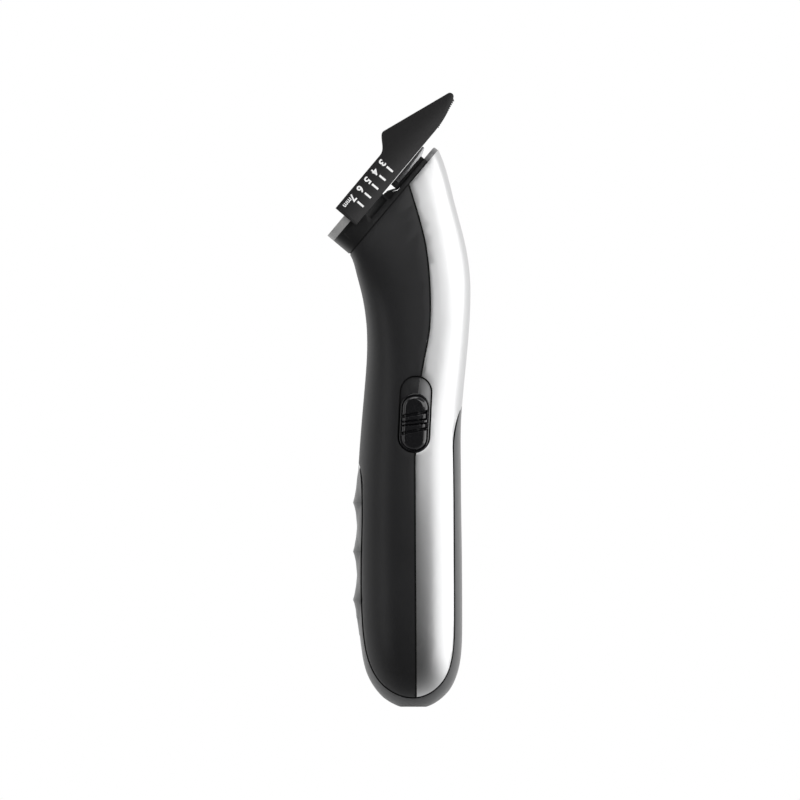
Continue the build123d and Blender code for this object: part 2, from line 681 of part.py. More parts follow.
with BuildPart() as motor_armature:
    with BuildSketch(Plane.XY.offset(MOTOR_BOTTOM + ARMATURE_START)):
        with Locations(motor_axis):
            Circle(ARMATURE_RADIUS)
            with PolarLocations(ARMATURE_RADIUS, 3):
                Rectangle(*ARMATURE_SLOT, mode=Mode.SUBTRACT)
            Circle(SHAFT_RADIUS, mode=Mode.SUBTRACT)
    extrude(amount=MOTOR_TOP - MOTOR_BOTTOM - ARMATURE_START - ARMATURE_END)
save(motor_armature, "motor_armature")

with BuildPart() as eccentric_cam:
    add(turned(CAM_RADIUS, BUSH_TOP + CAM_LIFT, CAM_TOP))
    add(turned(SHAFT_RADIUS, BUSH_TOP, CAM_TOP), mode=Mode.SUBTRACT)
    with BuildSketch(Plane.XY.offset(CAM_TOP)):
        with Locations(motor_axis):
            Circle(CAM_RADIUS)
    extrude(amount=CAM_DISC)
    with BuildSketch(Plane.XY.offset(CAM_TOP)):
        with Locations((MOTOR_X, ECCENTRICITY)):
            Circle(PIN_RADIUS)
    extrude(amount=PIN_TOP - CAM_TOP)
save(eccentric_cam, "eccentric_cam")

# ---------------------------------------------------------------- head
with BuildPart() as head_base:
    add(head_prism(JOINT_INSET, TONGUE_LENGTH, 0, TONGUE_HEIGHT))
    add(head_prism(0, TONGUE_LENGTH, JOINT_HEIGHT, TONGUE_HEIGHT))
    add(head_prism(0, BLOCK_LENGTH, JOINT_HEIGHT, BLOCK_HEIGHT))
    with BuildSketch(head_side):
        with BuildLine():
            Polyline(RAMP, close=True)
        make_face()
    extrude(amount=RAMP_HALF_WIDTH, both=True)
    for side in (-1, 1):
        notch = head_side.offset(side * SPRING_Y)
        add(slab(notch, BLOCK_LENGTH, RAMP[3][0], TONGUE_HEIGHT, BLOCK_HEIGHT, 0.6), mode=Mode.SUBTRACT)
    add(head_prism(BLOCK_WALL, BLOCK_LENGTH - BLOCK_WALL, -1, BLOCK_HEIGHT - BLOCK_WALL), mode=Mode.SUBTRACT)
    add(slab(head_side, WINDOW[0], WINDOW[1], -1, 3, WINDOW_HALF_WIDTH), mode=Mode.SUBTRACT)
    for side in (-1, 1):
        groove = head_side.offset(side * (HEAD_HALF_WIDTH - GUIDE_DEPTH + CUT_REACH))
        add(slab(groove, -1, BLOCK_LENGTH + 1, GUIDE_LOW, BLOCK_HEIGHT + 1, CUT_REACH), mode=Mode.SUBTRACT)
        pocket = head_side.offset(side * (POCKET_FLOOR + CUT_REACH))
        add(slab(pocket, *POCKET, CUT_REACH), mode=Mode.SUBTRACT)
save(head_base, "head_base")

with BuildPart() as head_cover:
    add(head_prism(0, BLOCK_LENGTH, BLOCK_HEIGHT, COVER_TOP))
save(head_cover, "head_cover")

with BuildPart() as head_lip:
    with BuildSketch(head_side):
        with BuildLine():
            Polyline((TONGUE_LENGTH, 0), (TONGUE_LENGTH, 1.4), (37.7, 1.4))
            ThreePointArc((37.7, 1.4), (38.05, 1.25), (38.2, 0.9))
            Polyline((38.2, 0.9), (38.2, 0), (TONGUE_LENGTH, 0))
        make_face()
    extrude(amount=LIP_HALF_WIDTH, both=True)
    add(head_prism(-LIP_PROUD, HEAD_LENGTH + 2 * LIP_PROUD, -1, 3), mode=Mode.INTERSECT)
save(head_lip, "head_lip")

# ---------------------------------------------------------------- blade unit
with BuildPart() as blade_frame:
    with BuildSketch(head_side):
        with BuildLine():
            Polyline(
                (22.4, 1.7), (22.4, BLADE_TOP), (BLADE_REAR, BLADE_TOP), (BLADE_REAR, BLADE_BOTTOM),
                (33.9, BLADE_BOTTOM), (33.9, TONGUE_HEIGHT), (23.4, TONGUE_HEIGHT), (22.4, 1.7),
            )
        make_face()
    extrude(amount=FRAME_HALF_WIDTH, both=True)
    add(slab(head_side, *BLADE_BED, 0, BLADE_BOTTOM, FRAME_HALF_WIDTH - FRAME_RAIL), mode=Mode.SUBTRACT)
    for side in (-1, 1):
        notch = head_side.offset(side * SPRING_Y)
        add(slab(notch, 22, 25.5, 0, 2.3, SPRING_RADIUS + 0.1), mode=Mode.SUBTRACT)
save(blade_frame, "blade_frame")


def teeth_gaps(root, tip, low, high):
    """The gaps between blade teeth, from their rounded roots out past the tips."""
    with BuildPart() as gaps:
        with BuildSketch(head_plane.offset(low)):
            with GridLocations(0, TOOTH_PITCH, 1, TOOTH_COUNT):
                with Locations(((root + tip) / 2 + 1, 0)):
                    SlotOverall(tip - root + 2, TOOTH_GAP)
        extrude(amount=high - low)
    return gaps.part


with BuildPart() as fixed_blade:
    with BuildSketch(head_side):
        with BuildLine():
            Polyline((33.9, BLADE_BOTTOM), (BLADE_REAR, BLADE_BOTTOM), (BLADE_REAR, BLADE_TOP), (35.7, BLADE_TOP))
            ThreePointArc((35.7, BLADE_TOP), (BLADE_TIP, 3.55), (36.0, 3.15))
            Line((36.0, 3.15), (33.9, BLADE_BOTTOM))
        make_face()
    extrude(amount=BLADE_HALF_WIDTH, both=True)
    add(teeth_gaps(FIXED_ROOT, BLADE_TIP, BLADE_BOTTOM - 1, BLADE_TOP + 1), mode=Mode.SUBTRACT)
save(fixed_blade, "fixed_blade")

with BuildPart() as moving_blade:
    add(slab(head_side, CUTTER_REAR, CUTTER_TIP, CUTTER_TOP - CUTTER_THICKNESS, CUTTER_TOP, CUTTER_HALF_WIDTH))
    add(teeth_gaps(CUTTER_ROOT, BLADE_TIP, 0, BLADE_TOP), mode=Mode.SUBTRACT)
save(moving_blade, "moving_blade")

with BuildPart() as blade_carrier:
    add(slab(head_side, *CARRIER, CARRIER_BOTTOM, CUTTER_TOP - CUTTER_THICKNESS, CARRIER_HALF_WIDTH))
    for side in (-1, 1):
        prong = head_side.offset(side * (FORK_HALF_GAP + PRONG_THICKNESS / 2))
        add(slab(prong, *PRONG, FORK_BOTTOM, CARRIER_BOTTOM, PRONG_THICKNESS / 2))
save(blade_carrier, "blade_carrier")

with BuildPart() as blade_spring:
    for side in (-1, 1):
        spring_plane = head_side.offset(side * SPRING_Y)
        with BuildLine(spring_plane):
            FilletPolyline(*SPRING_PATH, radius=SPRING_BEND)
        with BuildSketch(Plane(origin=spring_plane.from_local_coords((*SPRING_PATH[0], 0)), z_dir=along)):
            Circle(SPRING_RADIUS)
        sweep()
save(blade_spring, "blade_spring")

# ---------------------------------------------------------------- comb
with BuildPart() as comb:
    with BuildSketch(head_side):
        with BuildLine():
            back = Line((COMB_REAR, COMB_BOTTOM), (COMB_REAR, COMB_TOP))
            top = Line(back @ 1, (26.6, COMB_TOP))
            hump = Spline(
                top @ 1, (28.9, 12.45), (31.0, 14.55), (32.6, 15.05), tangents=[(1, 0), (0.94, -0.34)],
            )
            face = Line(hump @ 1, (52.3, 8.05))
            tip = ThreePointArc(face @ 1, (52.95, 7.0), (52.2, 6.05))
            under = Spline(tip @ 1, (45.6, 4.25), (40.0, COMB_BOTTOM), tangents=[(-0.93, -0.36), (-1, 0)])
            Line(under @ 1, back @ 0)
        make_face()
    extrude(amount=COMB_INSIDE + COMB_WALL, both=True)
    with BuildSketch(head_side):
        with BuildLine():
            Polyline(
                (0, 0), (0, ROOF_BOTTOM), (27.4, ROOF_BOTTOM), (31.0, 13.2), (33.0, 13.5),
                (34.2, 20), (60, 20), (60, 0), (0, 0),
            )
        make_face()
    extrude(amount=COMB_INSIDE, both=True, mode=Mode.SUBTRACT)
    with BuildSketch(head_plane.offset(ROOF_BOTTOM - 1)):
        with Locations(((ROOF_WINDOW[0] + ROOF_WINDOW[1]) / 2, 0)):
            RectangleRounded(ROOF_WINDOW[1] - ROOF_WINDOW[0], ROOF_WINDOW_WIDTH, 3)
    extrude(amount=4, mode=Mode.SUBTRACT)
    for row in range(RIB_COUNT):
        with BuildSketch(head_side.offset((row - (RIB_COUNT - 1) / 2) * RIB_PITCH)):
            with BuildLine():
                low_edge = []
                for bite in range(2 * SERRATIONS + 1):
                    part_way = bite / (2 * SERRATIONS)
                    u = SERRATED[0][0] + part_way * (SERRATED[1][0] - SERRATED[0][0])
                    n = SERRATED[0][1] + part_way * (SERRATED[1][1] - SERRATED[0][1])
                    low_edge.append((u, n + SERRATION_DEPTH * (bite % 2)))
                Polyline(
                    (27.2, 10.4), (30.6, 13.3), (32.6, 14.95), (52.2, 7.95), (52.8, 7.1), (52.3, 6.3),
                    *low_edge, (42.9, 4.35), (37.5, 4.6), (34.5, 8.6), (28.6, 9.4), (27.2, 10.4),
                )
            make_face()
        extrude(amount=RIB_THICKNESS / 2, both=True)
    for side in (-1, 1):
        rail = head_side.offset(side * (COMB_INSIDE - RAIL_PROUD / 2))
        add(slab(rail, *RAIL, GUIDE_LOW + RAIL_CLEARANCE, BLOCK_HEIGHT - RAIL_CLEARANCE, RAIL_PROUD / 2))
        hem = head_side.offset(side * (COMB_INSIDE + COMB_WALL))
        add(slab(hem, COMB_REAR, COMB_REAR + HEM_LENGTH, COMB_BOTTOM, COMB_TOP, HEM_PROUD))
save(comb, "comb")
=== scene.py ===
"""The looks of a cordless hair clipper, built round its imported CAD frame. Metres, +Z up."""

import json
from math import cos, pi, radians, sin

import bmesh
import bpy
from mathutils import Matrix, Vector
from mathutils.bvhtree import BVHTree


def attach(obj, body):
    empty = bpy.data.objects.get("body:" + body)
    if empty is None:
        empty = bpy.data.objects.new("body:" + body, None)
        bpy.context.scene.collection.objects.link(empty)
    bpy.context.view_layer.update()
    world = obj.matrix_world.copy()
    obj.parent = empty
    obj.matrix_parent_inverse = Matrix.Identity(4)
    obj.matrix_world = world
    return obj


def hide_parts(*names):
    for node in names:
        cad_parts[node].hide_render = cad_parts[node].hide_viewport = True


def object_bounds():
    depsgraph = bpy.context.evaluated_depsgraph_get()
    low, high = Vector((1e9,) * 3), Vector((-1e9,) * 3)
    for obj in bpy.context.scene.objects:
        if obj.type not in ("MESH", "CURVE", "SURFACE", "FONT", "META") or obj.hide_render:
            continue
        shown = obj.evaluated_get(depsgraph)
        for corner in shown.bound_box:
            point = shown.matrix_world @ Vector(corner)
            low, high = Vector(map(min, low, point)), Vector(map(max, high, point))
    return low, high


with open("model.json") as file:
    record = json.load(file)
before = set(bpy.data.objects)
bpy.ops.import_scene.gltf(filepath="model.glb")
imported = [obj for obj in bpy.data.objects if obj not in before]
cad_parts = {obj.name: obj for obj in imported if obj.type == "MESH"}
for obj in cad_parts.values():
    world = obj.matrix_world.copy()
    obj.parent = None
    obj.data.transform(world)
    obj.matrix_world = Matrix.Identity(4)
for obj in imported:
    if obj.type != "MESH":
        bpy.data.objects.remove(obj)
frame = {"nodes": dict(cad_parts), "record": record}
cad_low, cad_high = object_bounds()
nodes = frame["nodes"]

MM = 0.001

# ---------------------------------------------------------------- the head's own axes
HEAD_ANGLE = radians(50)
HEAD_REAR = Vector((-17.8, 0, 126.6)) * MM
ALONG = Vector((cos(HEAD_ANGLE), 0, sin(HEAD_ANGLE)))
OUTWARD = Vector((-sin(HEAD_ANGLE), 0, cos(HEAD_ANGLE)))


def on_head(u, n, y):
    """A place given along the blade plane, out from it and across, in mm."""
    return HEAD_REAR + (ALONG * u + OUTWARD * n) * MM + Vector((0, y, 0)) * MM


def out_of_head(place):
    """How far a place is out from the head's plane, in mm."""
    return (place - HEAD_REAR).dot(OUTWARD) / MM


# ---------------------------------------------------------------- materials
NOISE_LOW, NOISE_HIGH = 0.3, 0.7  # nearly all of a noise lies between these
NOISE_DETAIL = 3
COAT_ROUGHNESS = 0.08
SHEEN_ROUGHNESS = 0.4


def noise(tree, scale, stretch=(1, 1, 1)):
    """Noise in the object's own space, its scale in features per metre."""
    place = tree.nodes.new("ShaderNodeTexCoord")
    mapping = tree.nodes.new("ShaderNodeMapping")
    mapping.inputs["Scale"].default_value = stretch
    pattern = tree.nodes.new("ShaderNodeTexNoise")
    pattern.inputs["Scale"].default_value = scale
    pattern.inputs["Detail"].default_value = NOISE_DETAIL
    tree.links.new(place.outputs["Object"], mapping.inputs["Vector"])
    tree.links.new(mapping.outputs["Vector"], pattern.inputs["Vector"])
    return pattern.outputs["Fac"]


def ramp(tree, source, low, high):
    """A colour from low to high as the noise goes from its low to its high."""
    scale = tree.nodes.new("ShaderNodeValToRGB")
    scale.color_ramp.elements[0].position = NOISE_LOW
    scale.color_ramp.elements[1].position = NOISE_HIGH
    scale.color_ramp.elements[0].color = (*low, 1)
    scale.color_ramp.elements[1].color = (*high, 1)
    tree.links.new(source, scale.inputs["Fac"])
    return scale.outputs["Color"]


def spread(tree, source, low, high):
    """A number from low to high as the noise goes from its low to its high."""
    change = tree.nodes.new("ShaderNodeMapRange")
    change.inputs["From Min"].default_value = NOISE_LOW
    change.inputs["From Max"].default_value = NOISE_HIGH
    change.inputs["To Min"].default_value = low
    change.inputs["To Max"].default_value = high
    tree.links.new(source, change.inputs["Value"])
    return change.outputs["Result"]


def relief(tree, socket, source, depth):
    """Bumps of the given depth in metres."""
    bump = tree.nodes.new("ShaderNodeBump")
    bump.inputs["Strength"].default_value = 1.0
    bump.inputs["Distance"].default_value = depth
    tree.links.new(source, bump.inputs["Height"])
    tree.links.new(bump.outputs["Normal"], socket)


def moulded(name, colour, variation, roughness, grain, depth, metallic=0.0, coat=0.0, blotch=60,
            stretch=(1, 1, 1), sheen=0.0):
    """Moulded or lacquered surface: slow colour change, uneven gloss and a fine surface grain."""
    material = bpy.data.materials.new(name)
    material.use_nodes = True
    tree = material.node_tree
    surface = tree.nodes["Principled BSDF"]
    slow = noise(tree, blotch)
    fine = noise(tree, grain, stretch)
    darker = tuple(c * (1 - variation) for c in colour)
    lighter = tuple(c * (1 + variation) for c in colour)
    tree.links.new(ramp(tree, slow, darker, lighter), surface.inputs["Base Color"])
    tree.links.new(spread(tree, fine, roughness[0], roughness[1]), surface.inputs["Roughness"])
    relief(tree, surface.inputs["Normal"], fine, depth)
    surface.inputs["Metallic"].default_value = metallic
    surface.inputs["Coat Weight"].default_value = coat
    surface.inputs["Coat Roughness"].default_value = COAT_ROUGHNESS
    surface.inputs["Sheen Weight"].default_value = sheen
    surface.inputs["Sheen Roughness"].default_value = SHEEN_ROUGHNESS
    return material


# Colour, its variation, lowest and highest roughness, grains per metre, their depth in metres.
FINISHES = {
    "rear_shell": ((0.015, 0.015, 0.016), 0.12, (0.40, 0.48), 5200, 0.000006),
    "front_shell": ((0.86, 0.862, 0.865), 0.012, (0.4, 0.44), 4200, 0.000002),
    "grip_rubber": ((0.06, 0.061, 0.063), 0.08, (0.5, 0.6), 4200, 0.000006),
    "button_black": ((0.006, 0.006, 0.007), 0.2, (0.16, 0.24), 1500, 0.000002),
    "head_black": ((0.009, 0.009, 0.0095), 0.12, (0.38, 0.46), 4200, 0.000003),
    "cover_grey": ((0.38, 0.378, 0.375), 0.03, (0.3, 0.36), 3000, 0.000002),
    "lip_metal": ((0.24, 0.24, 0.245), 0.05, (0.3, 0.36), 2400, 0.000002),
    "blade_steel": ((0.52, 0.52, 0.53), 0.04, (0.26, 0.32), 2600, 0.0000005),
    "spring_steel": ((0.62, 0.62, 0.62), 0.04, (0.14, 0.22), 2400, 0.000001),
    "comb_black": ((0.014, 0.0135, 0.014), 0.1, (0.38, 0.44), 3200, 0.0000012),
    "lens_clear": ((0.55, 0.72, 0.55), 0.05, (0.1, 0.14), 900, 0.000001),
    "cell_wrap": ((0.03, 0.2, 0.1), 0.05, (0.24, 0.3), 900, 0.000002),
    "nickel": ((0.62, 0.6, 0.56), 0.05, (0.2, 0.3), 1800, 0.000002),
    "inner_plastic": ((0.55, 0.55, 0.53), 0.04, (0.4, 0.5), 2400, 0.000005),
    "board_green": ((0.02, 0.14, 0.06), 0.08, (0.3, 0.4), 1800, 0.000004),
    "motor_steel": ((0.5, 0.5, 0.5), 0.05, (0.25, 0.35), 1800, 0.000002),
    "magnet_dark": ((0.06, 0.055, 0.05), 0.1, (0.5, 0.6), 2400, 0.000008),
    "copper": ((0.7, 0.3, 0.16), 0.08, (0.3, 0.4), 2400, 0.00001),
    # Painted shade: a darker silver for the recess's floor, where shade falls on the same silver lacquer.
    "recess_floor_painted_shade": ((0.5, 0.5, 0.505), 0.02, (0.42, 0.46), 4200, 0.000002),
    # Painted shade: black laid into the casing's grooves, gaps and joints where shadow falls.
    "painted_groove_shade": ((0.006, 0.006, 0.006), 0.1, (0.7, 0.8), 4200, 0.000002),
    "print_white": ((0.94, 0.94, 0.94), 0.02, (0.45, 0.55), 4200, 0.000001),
}
EXTRAS = {
    "front_shell": {"metallic": 1.0},
    "grip_rubber": {"sheen": 0.6},
    "button_black": {"coat": 1.0},
    "cover_grey": {"metallic": 0.2},
    "lip_metal": {"metallic": 0.5},
    "blade_steel": {"metallic": 1.0, "blotch": 90, "stretch": (1, 14, 1)},
    "spring_steel": {"metallic": 1.0},
    "lens_clear": {"coat": 0.5},
    "nickel": {"metallic": 1.0},
    "motor_steel": {"metallic": 1.0},
    "copper": {"metallic": 1.0, "blotch": 90, "stretch": (1, 1, 12)},
    "recess_floor_painted_shade": {"metallic": 1.0},
}
MATERIALS = {slot: moulded(slot, *finish, **EXTRAS.get(slot, {})) for slot, finish in FINISHES.items()}

for row in frame["record"]["subparts"]:
    node = nodes[row["node"]]
    if node.data.materials:
        node.material_slots[0].material = MATERIALS[row["material_slot"]]
    else:
        node.data.materials.append(MATERIALS[row["material_slot"]])


def link(thing):
    """Puts a new object into the scene."""
    bpy.context.scene.collection.objects.link(thing)
    return thing


def add_piece(name, data, body, slot):
    """Links a new piece, rides it on a body and gives it its finish."""
    piece = link(bpy.data.objects.new(name, data))
    piece.data.materials.clear()
    piece.data.materials.append(MATERIALS[slot])
    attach(piece, body)
    return piece


def finished_mesh(carrier):
    """The mesh of a helper object with its modifiers applied. The helper goes."""
    bpy.context.view_layer.update()
    graph = bpy.context.evaluated_depsgraph_get()
    mesh = bpy.data.meshes.new_from_object(carrier.evaluated_get(graph))
    bpy.data.objects.remove(carrier)
    return mesh


WELD = 0.0005  # corners nearer than this are one, in mm
FLAT_ANGLE = radians(0.6)  # faces that meet at less than this are one
SHARP_ANGLE = radians(30)  # edges sharper than this are rounded
SHADE_ANGLE = radians(38)
ROUNDING_STEPS = 3


def softened(name, body, slot, width):
    """A moulded copy of a CAD node: the same faces, with every sharp edge rounded by width in mm."""
    mesh = nodes[name].data.copy()
    shape = bmesh.new()
    shape.from_mesh(mesh)
    bmesh.ops.remove_doubles(shape, verts=shape.verts, dist=WELD * MM)
    bmesh.ops.dissolve_limit(shape, angle_limit=FLAT_ANGLE, verts=shape.verts, edges=shape.edges)
    shape.to_mesh(mesh)
    shape.free()
    carrier = link(bpy.data.objects.new(name + "_carrier", mesh))
    rounding = carrier.modifiers.new("rounding", "BEVEL")
    rounding.width = width * MM
    rounding.segments = ROUNDING_STEPS
    rounding.limit_method = "ANGLE"
    rounding.angle_limit = SHARP_ANGLE
    rounding.miter_outer = "MITER_ARC"
    rounding.use_clamp_overlap = True
    rounded = finished_mesh(carrier)
    rounded.shade_smooth()
    rounded.set_sharp_from_angle(angle=SHADE_ANGLE)
    piece = add_piece(name + "_moulded", rounded, body, slot)
    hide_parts(name)
    return piece


# ---------------------------------------------------------------- the on/off button
SWITCH_TILT = radians(2.7)
SWITCH_UP = Vector((sin(SWITCH_TILT), 0, cos(SWITCH_TILT)))
SWITCH_ACROSS = Vector((cos(SWITCH_TILT), 0, -sin(SWITCH_TILT)))
RECESS_CENTRE = Vector((0.35, 0, 81.9)) * MM
REST_DROP = 2.4  # the button rests this far below the recess's centre
BUTTON_RADIUS = 4.12
BUTTON_STRAIGHT = 4.18  # half the length between the centres of its round ends
BUTTON_TOP = 18.6
BUTTON_BASE = 15.68
BUTTON_RINGS = 42
RING_CROWDING = 1.25  # rings stand closer towards the button's middle line
BUTTON_WELD = 0.002  # corners nearer than this are one, in mm
BUTTON_SLIVER = 0.001
BUTTON_SHADE_ANGLE = radians(50)
END_STEPS = 48
SIDE_STEPS = 64

# Heights of the button's face over its base and widths in from its edge, in mm.
RIM_WIDTH = 0.3
RIM_FOOT = 1.5
RIM_ROUND = 0.32
CHANNEL_WIDTH = 0.22
CHANNEL_DEPTH = 0.3
PILLOW_FOOT = 1.72
PILLOW_EDGE = 1.6  # width of the rounded edge round the button's flat middle
PILLOW_POWER = 2.6
END_DROP = 0.07  # the pillow is this share lower at the button's ends
GROOVE_START = 0.35  # the grooves reach their depth this far in from the channel

# The finger grooves: place along the button, width, slope to the right, all in mm.
GROOVES = [(2.5, 1.0, 0.24), (0.66, 0.5, 0.165), (-0.42, 0.46, 0.16), (-2.3, 0.95, 0.25)]
GROOVE_DEPTH = 0.85
GROOVE_POWER = 0.8
RIBS = [(GROOVES[1], GROOVES[0]), (GROOVES[3], GROOVES[2])]  # these two fall away to the right
RIB_FALL = 0.75
RIB_FALL_START, RIB_FALL_END = 0.6, 3.6


def smooth_step(value, low, high):
    """A number that goes smoothly from 0 to 1 as value goes from low to high."""
    part = min(max((value - low) / (high - low), 0), 1)
    return part * part * (3 - 2 * part)


def button_height(across, up, inset):
    """How far the button's face stands out: a thin rim, a channel, then a pillow with grip grooves."""
    if inset <= RIM_WIDTH:
        return RIM_FOOT + RIM_ROUND * (1 - (1 - inset / RIM_WIDTH) ** 2) ** 0.5
    if inset <= RIM_WIDTH + CHANNEL_WIDTH:
        return RIM_FOOT + RIM_ROUND - CHANNEL_DEPTH * sin(pi * (inset - RIM_WIDTH) / CHANNEL_WIDTH)
    climb = min((inset - RIM_WIDTH - CHANNEL_WIDTH) / PILLOW_EDGE, 1)
    crown = 1 - END_DROP * (up / (BUTTON_STRAIGHT + BUTTON_RADIUS)) ** 2
    pillow = BUTTON_TOP - BUTTON_BASE - PILLOW_FOOT
    height = PILLOW_FOOT + pillow * (1 - (1 - climb) ** PILLOW_POWER) * crown
    reach = smooth_step(inset, RIM_WIDTH + CHANNEL_WIDTH, RIM_WIDTH + CHANNEL_WIDTH + GROOVE_START)
    for below, above in RIBS:
        low = below[0] + below[2] * across
        high = above[0] + above[2] * across
        if low < up < high:
            height -= RIB_FALL * reach * smooth_step(across, RIB_FALL_START, RIB_FALL_END)
    for place, width, slope in GROOVES:
        away = abs(up - place - slope * across) / (width / 2)
        if away < 1:
            height -= GROOVE_DEPTH * reach * (1 - away * away) ** GROOVE_POWER
    return height


def button_outline():
    """Places round the button's stadium: its centre line's point and the direction out of it."""
    outline = []
    for end in (1, -1):
        for step in range(END_STEPS):
            turn = pi * step / END_STEPS
            outline.append((end * BUTTON_STRAIGHT, end * cos(turn), end * sin(turn)))
        for step in range(SIDE_STEPS):
            outline.append((end * BUTTON_STRAIGHT * (1 - 2 * step / SIDE_STEPS), -end, 0.0))
    return outline


def button():
    """The button's cap: rings of its outline from the edge in to the middle line, over a flat base."""
    mesh = bpy.data.meshes.new("switch_button_cap")
    shape = bmesh.new()
    middle = RECESS_CENTRE - SWITCH_UP * REST_DROP * MM

    def place(across, up, out):
        return middle + (SWITCH_ACROSS * across + SWITCH_UP * up + Vector((0, -out, 0))) * MM

    outline = button_outline()
    spokes = len(outline)
    rows = []
    for ring in range(BUTTON_RINGS + 1):
        inset = BUTTON_RADIUS * (1 - (1 - ring / BUTTON_RINGS) ** RING_CROWDING)
        row = []
        for start, side, rise in outline:
            across = side * (BUTTON_RADIUS - inset)
            up = start + rise * (BUTTON_RADIUS - inset)
            row.append(shape.verts.new(place(across, up, BUTTON_BASE + button_height(across, up, inset))))
        rows.append(row)
    foot = [shape.verts.new((vert.co.x, -BUTTON_BASE * MM, vert.co.z)) for vert in rows[0]]
    for spoke in range(spokes):
        after = (spoke + 1) % spokes
        shape.faces.new((foot[spoke], rows[0][spoke], rows[0][after], foot[after]))
        for outer, inner in zip(rows, rows[1:]):
            shape.faces.new((outer[spoke], inner[spoke], inner[after], outer[after]))
    shape.faces.new(foot)
    bmesh.ops.remove_doubles(shape, verts=shape.verts, dist=BUTTON_WELD * MM)
    bmesh.ops.dissolve_degenerate(shape, edges=shape.edges, dist=BUTTON_SLIVER * MM)
    bmesh.ops.recalc_face_normals(shape, faces=shape.faces)
    for face in shape.faces:
        face.smooth = True
    shape.to_mesh(mesh)
    shape.free()
    mesh.set_sharp_from_angle(angle=BUTTON_SHADE_ANGLE)
    piece = add_piece("switch_button_cap", mesh, "switch", "button_black")
    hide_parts("switch_button")


button()

# ---------------------------------------------------------------- moulded and ground pieces
# Node, body, finish and the radius of its rounded edges in mm.
SOFTENED = [
    ("comb", "comb", "comb_black", 0.16),
    ("head_base", "handle", "head_black", 0.12),
    ("head_cover", "handle", "cover_grey", 0.3),
    ("head_lip", "handle", "lip_metal", 0.12),
    ("blade_frame", "handle", "head_black", 0.07),
    ("fixed_blade", "handle", "blade_steel", 0.05),
    ("moving_blade", "cutter", "blade_steel", 0.04),
    ("blade_carrier", "cutter", "head_black", 0.1),
    ("soft_grip", "handle", "grip_rubber", 0.2),
    ("rear_housing", "handle", "rear_shell", 0.1),
    ("front_housing", "handle", "front_shell", 0.1),
    ("case_screws", "handle", "nickel", 0.1),
]
made = {}
for name, body, slot, width in SOFTENED:
    made[name] = softened(name, body, slot, width)

# ---------------------------------------------------------------- the casing's shadow lines, painted in as black shade
# The parting line between the two shells, as (x, z) in mm.
SEAM = [(0.45, -5.0), (0.05, 70.0), (1.25, 88.3), (2.25, 95.3), (4.05, 105.0), (4.4, 113.0),
        (4.05, 121.1), (3.15, 128.9), (0.55, 139.2), (-1.39, 145.5), (-3.5, 152.3)]
SEAM_GAP = 0.45
GRIP_GAP = 0.38
GRIP_REACH = 0.06  # past the gap round the grip, that counts as in it
HEAD_REACH = -0.02  # the casing's top face is out from here
HEAD_FOOT = 0.38  # height of the head's set-in foot
PAINT_REACH = 0.4  # how far past the seam's edge a face that is in it may reach
RECESS_FLOOR = -15.5
RECESS_CHANNEL = 0.42
RECESS_SLACK = 0.05
RECESS_HALF_WIDTH = 4.75
RECESS_HALF_LENGTH = 11.0
SHADOW, FLOOR_PAINTED_SHADE = 1, 2  # the shells' extra materials, both painted shade: black in the grooves, a darker silver on the recess floor

grip_surface = BVHTree.FromPolygons(
    [vert.co for vert in nodes["soft_grip"].data.vertices],
    [face.vertices[:] for face in nodes["soft_grip"].data.polygons],
)


def seam_at(height):
    """Where the parting line is, in mm, at a height in mm."""
    for (x0, z0), (x1, z1) in zip(SEAM, SEAM[1:]):
        if height <= z1:
            return x0 + (x1 - x0) * (height - z0) / (z1 - z0)
    return SEAM[-1][0]


def in_a_groove(place):
    """Whether a point of the casing is in one of its narrow grooves, under the grip or under the head."""
    ahead = place.x / MM - seam_at(place.z / MM)
    if -PAINT_REACH < ahead < SEAM_GAP + PAINT_REACH:
        return True
    if grip_surface.find_nearest(place, (GRIP_GAP + GRIP_REACH) * MM)[0] is not None:
        return True
    return out_of_head(place) > HEAD_REACH


def in_recess(place):
    """Whether a point of the casing is within the outline of the switch's recess."""
    away = place - RECESS_CENTRE
    across, up = away.dot(SWITCH_ACROSS) / MM, away.dot(SWITCH_UP) / MM
    return abs(across) < RECESS_HALF_WIDTH and abs(up) < RECESS_HALF_LENGTH and place.y < 0


def paint_shell(name):
    """Paints shade in black into a shell's grooves, and paints shade as a darker silver on the silver shell's
    part of the recess's floor.
    """
    shell = made[name].data
    shell.materials.append(MATERIALS["painted_groove_shade"])
    shell.materials.append(MATERIALS["recess_floor_painted_shade"])
    for face in shell.polygons:
        depth = face.center.y / MM - RECESS_FLOOR
        in_channel = in_recess(face.center) and RECESS_SLACK < depth < RECESS_CHANNEL + RECESS_SLACK
        if in_channel or all(in_a_groove(shell.vertices[index].co) for index in face.vertices):
            face.material_index = SHADOW
        # Painted shade: the silver shell's part of the recess floor gets the darker silver.
        elif name == "front_housing" and abs(depth) < RECESS_SLACK and in_recess(face.center):
            face.material_index = FLOOR_PAINTED_SHADE


paint_shell("front_housing")
paint_shell("rear_housing")
base = made["head_base"].data
# Painted shade: the head's set-in foot is painted black where its joint with the casing lies in shadow.
base.materials.append(MATERIALS["painted_groove_shade"])
for face in base.polygons:
    if out_of_head(face.center) < HEAD_FOOT:
        face.material_index = SHADOW

# ---------------------------------------------------------------- printed comb scale
COMB_SIDE = 21.75  # the comb's printed face stands this far out on the -Y side
PRINT_LIFT = 0.02
TICK_HALF_LENGTH = 1.12
TICK_HALF_WIDTH = 0.29
TICK_THICKNESS = 0.03
TICK_HEIGHT = 6.86  # of the ticks' middles out from the head's plane
STEP = 3.19
FIRST_TICK = 12.7  # along the head, the tick of the longest cut
SETTINGS = "76543"
DIGIT_SIZE = 2.9
DIGIT_HEIGHT = 9.72
DIGIT_BOLD = 0.03
UNIT_SIZE = 2.0
UNIT_BACK = 2.0
UNIT_HEIGHT = 9.9
UNIT_BOLD = 0.016
LETTER_HALF_THICKNESS = 0.015


